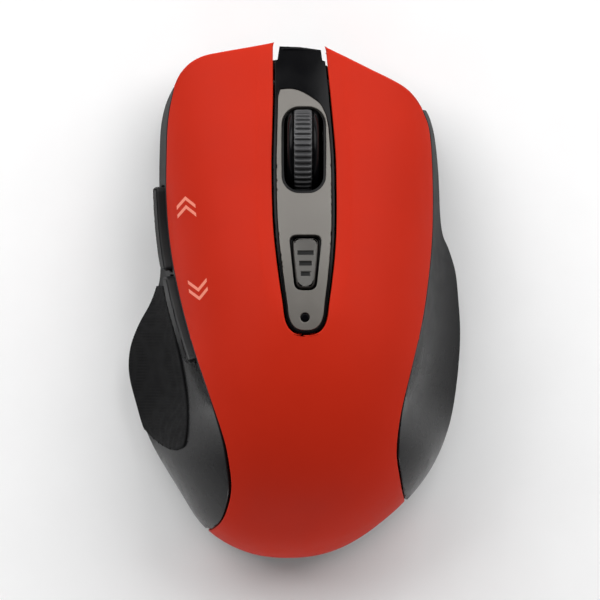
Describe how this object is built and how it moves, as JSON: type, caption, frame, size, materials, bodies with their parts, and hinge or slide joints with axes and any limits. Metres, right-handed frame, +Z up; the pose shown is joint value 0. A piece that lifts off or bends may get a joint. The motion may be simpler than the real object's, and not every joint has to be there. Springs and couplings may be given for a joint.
{
  "type": "wireless optical mouse",
  "caption": "Right-handed wireless mouse with an arched red cover, two flexing keys, a scroll wheel in a grey centre strip, thumb buttons and a rubber thumb grip.",
  "frame": {"origin": "under the middle of the mouse, in the plane of its feet", "axes": "+Y towards the front where the keys end, +X to the right-hand side, +Z up; the keys, wheel and buttons are released, the battery door is shut, the receiver is parked and the power switch is at its rear stop"},
  "size_m": [0.0666, 0.104, 0.0377],
  "materials": {
    "red_cover": "satin red lacquer over moulded plastic",
    "gloss_black": "piano black, high gloss",
    "grey_trim": "satin metallic grey paint on plastic",
    "side_black": "glossy black with a soft sheen",
    "rubber": "matt black with a fine grid",
    "matt_black": "fine grained moulding",
    "carrier_grey": "plain moulding",
    "foot_glide": "smooth low-friction film",
    "circuit": "green solder mask",
    "steel": "bright plated",
    "cell_jacket": "printed sleeve without lettering",
    "clear_plastic": "clear moulded optic",
    "stem_white": "plain",
    "can_blue": "sleeved can",
    "ribbon_grey": "flat grey insulation"
  },
  "bodies": {
    "base": {"base_shell": "matt_black", "top_cover": "red_cover", "centre_bezel": "gloss_black", "trim_plate": "grey_trim", "light_pipe": "matt_black", "upper_board": "circuit", "dpi_switch": "steel", "indicator_led": "clear_plastic", "left_side_panel": "side_black", "right_side_panel": "side_black", "thumb_grip": "rubber", "forward_switch": "matt_black", "back_switch": "matt_black", "side_board": "circuit", "foot_front_left": "foot_glide", "foot_front_right": "foot_glide", "foot_rear_left": "foot_glide", "foot_rear_right": "foot_glide", "screw_rear_left": "steel", "screw_rear_right": "steel", "battery": "cell_jacket", "battery_contact": "steel", "battery_spring": "steel", "main_board": "circuit", "left_switch": "matt_black", "right_switch": "matt_black", "middle_switch": "matt_black", "sensor_chip": "matt_black", "sensor_lens": "clear_plastic", "sensor_led": "clear_plastic", "radio_chip": "matt_black", "crystal": "steel", "capacitor": "can_blue", "ribbon_cable": "ribbon_grey", "power_switch": "steel", "ir_emitter": "clear_plastic", "ir_detector": "matt_black", "wheel_spring": "steel"},
    "left_key": {"left_button": "red_cover"},
    "right_key": {"right_button": "red_cover"},
    "dpi_key": {"dpi_button": "grey_trim"},
    "carrier": {"wheel_carrier": "carrier_grey"},
    "wheel": {"wheel_hub": "gloss_black", "wheel_tyre": "rubber"},
    "forward_key": {"forward_button": "gloss_black"},
    "back_key": {"back_button": "gloss_black"},
    "left_stem": {"left_plunger": "stem_white"},
    "right_stem": {"right_plunger": "stem_white"},
    "middle_stem": {"middle_plunger": "stem_white"},
    "dpi_stem": {"dpi_plunger": "stem_white"},
    "forward_stem": {"forward_plunger": "stem_white"},
    "back_stem": {"back_plunger": "stem_white"},
    "door": {"battery_door": "matt_black"},
    "power_slider": {"power_knob": "matt_black"},
    "receiver": {"receiver_cap": "matt_black", "receiver_plug": "steel"}
  },
  "joints": [
    {"name": "left_click", "type": "hinge", "parent": "base", "child": "left_key", "pos_m": [-0.014, 0.003, 0.033], "axis": [-1, 0, 0], "range_deg": [0, 0.8], "stiffness_Nm_per_rad": 1.2, "springref_deg": -0.11},
    {"name": "right_click", "type": "hinge", "parent": "base", "child": "right_key", "pos_m": [0.017, 0.003, 0.033], "axis": [-1, 0, 0], "range_deg": [0, 0.8], "stiffness_Nm_per_rad": 1.2, "springref_deg": -0.11},
    {"name": "dpi_press", "type": "slide", "parent": "base", "child": "dpi_key", "axis": [0, 0, -1], "range_m": [0, 0.00035], "stiffness_N_per_m": 2500, "springref_m": -0.00003},
    {"name": "wheel_press", "type": "hinge", "parent": "base", "child": "carrier", "pos_m": [0.0016, 0.0434, 0.0137], "axis": [1, 0, 0], "range_deg": [0, 1.7], "stiffness_Nm_per_rad": 0.5, "springref_deg": -0.17, "deforming": ["wheel_spring"]},
    {"name": "wheel_spin", "type": "hinge", "parent": "carrier", "child": "wheel", "pos_m": [0.0016, 0.0297, 0.0189], "axis": [1, 0, 0], "continuous": true},
    {"name": "forward_press", "type": "slide", "parent": "base", "child": "forward_key", "axis": [0.9976, 0.0698, 0], "range_m": [0, 0.0005], "stiffness_N_per_m": 2000, "springref_m": -0.00003},
    {"name": "back_press", "type": "slide", "parent": "base", "child": "back_key", "axis": [0.9703, 0.2419, 0], "range_m": [0, 0.0005], "stiffness_N_per_m": 2000, "springref_m": -0.00003},
    {"name": "left_stem_slide", "type": "slide", "parent": "base", "child": "left_stem", "axis": [0, 0, -1], "range_m": [0, 0.0003]},
    {"name": "right_stem_slide", "type": "slide", "parent": "base", "child": "right_stem", "axis": [0, 0, -1], "range_m": [0, 0.0003]},
    {"name": "middle_stem_slide", "type": "slide", "parent": "base", "child": "middle_stem", "axis": [0, 0, -1], "range_m": [0, 0.0003]},
    {"name": "dpi_stem_slide", "type": "slide", "parent": "base", "child": "dpi_stem", "axis": [0, 0, -1], "range_m": [0, 0.0003]},
    {"name": "forward_stem_slide", "type": "slide", "parent": "base", "child": "forward_stem", "axis": [0.9781, 0.2079, 0], "range_m": [0, 0.0004]},
    {"name": "back_stem_slide", "type": "slide", "parent": "base", "child": "back_stem", "axis": [0.9781, 0.2079, 0], "range_m": [0, 0.0004]},
    {"name": "door_hinge", "type": "hinge", "parent": "base", "child": "door", "pos_m": [0.002, 0.00915, 0.00155], "axis": [1, 0, 0], "range_deg": [0, 80]},
    {"name": "power_slide", "type": "slide", "parent": "base", "child": "power_slider", "axis": [0, 1, 0], "range_m": [0, 0.0025]},
    {"name": "receiver_slide", "type": "slide", "parent": "base", "child": "receiver", "axis": [0, 0, -1], "range_m": [0, 0.0178]}
  ],
  "couplings": [
    {"joint": "left_stem_slide", "follows": "left_click", "m_per_rad": 0.0186},
    {"joint": "right_stem_slide", "follows": "right_click", "m_per_rad": 0.0157},
    {"joint": "middle_stem_slide", "follows": "wheel_press", "m_per_rad": 0.0087},
    {"joint": "dpi_stem_slide", "follows": "dpi_press", "ratio": 0.57},
    {"joint": "forward_stem_slide", "follows": "forward_press", "ratio": 0.6},
    {"joint": "back_stem_slide", "follows": "back_press", "ratio": 0.6}
  ]
}
